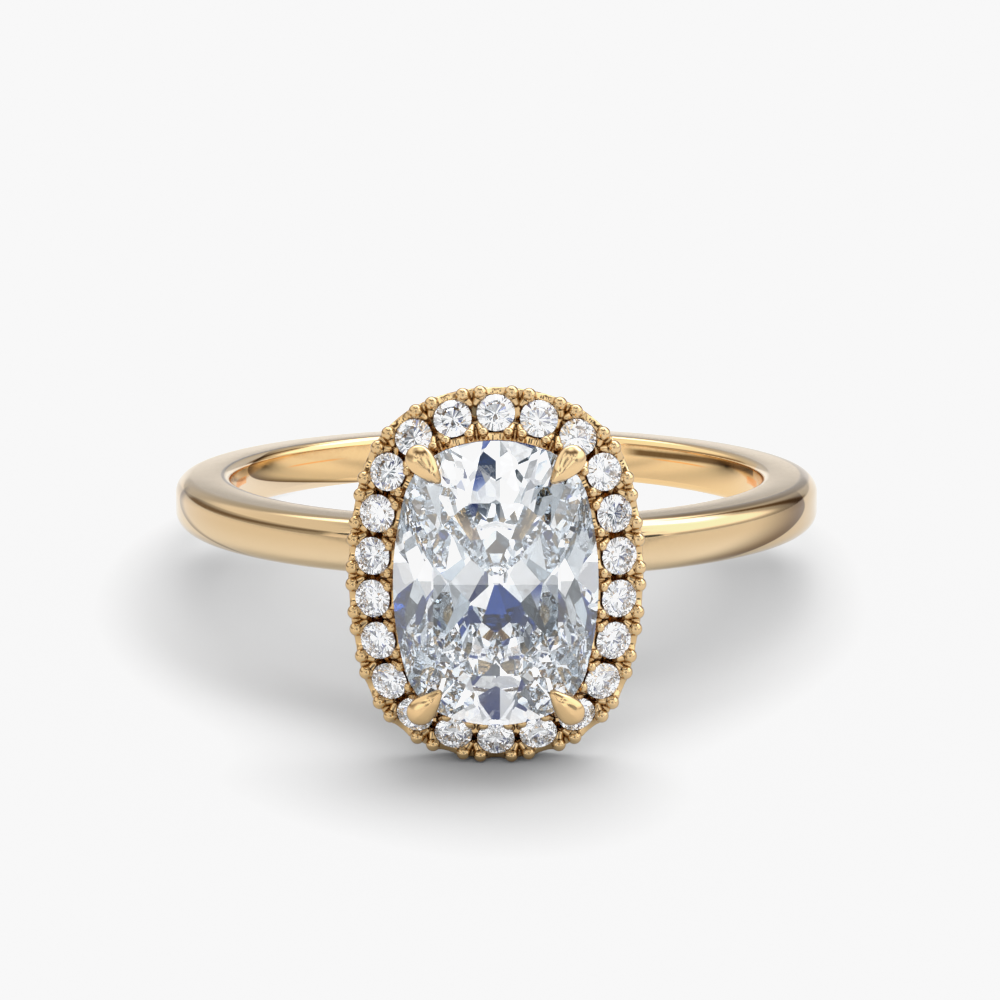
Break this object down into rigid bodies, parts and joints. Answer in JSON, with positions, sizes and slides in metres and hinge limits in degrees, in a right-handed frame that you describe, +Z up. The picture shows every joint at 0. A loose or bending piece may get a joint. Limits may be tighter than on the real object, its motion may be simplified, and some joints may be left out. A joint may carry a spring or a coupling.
{
  "type": "halo ring",
  "caption": "Finger ring with an oblong cushion-cut stone in claws inside a beaded halo of small round stones on a plain polished band.",
  "frame": {"origin": "centre of the finger hole, at the middle of the band's width", "axes": "+Z up from the table that the ring lies on; the head with its stones points to -Y; the finger hole's axis leans from +Z toward +Y because the head props the band up"},
  "size_m": [0.0198, 0.0249, 0.01],
  "materials": {
    "gold": "polished",
    "centre_stone": "faceted and polished",
    "halo_stones": "faceted and polished"
  },
  "bodies": {
    "root": {"setting": "gold", "centre_stone": "centre_stone", "halo_stone_01": "halo_stones", "halo_stone_02": "halo_stones", "halo_stone_03": "halo_stones", "halo_stone_04": "halo_stones", "halo_stone_05": "halo_stones", "halo_stone_06": "halo_stones", "halo_stone_07": "halo_stones", "halo_stone_08": "halo_stones", "halo_stone_09": "halo_stones", "halo_stone_10": "halo_stones", "halo_stone_11": "halo_stones", "halo_stone_12": "halo_stones", "halo_stone_13": "halo_stones", "halo_stone_14": "halo_stones", "halo_stone_15": "halo_stones", "halo_stone_16": "halo_stones", "halo_stone_17": "halo_stones", "halo_stone_18": "halo_stones", "halo_stone_19": "halo_stones", "halo_stone_20": "halo_stones", "halo_stone_21": "halo_stones", "halo_stone_22": "halo_stones"}
  },
  "joints": []
}
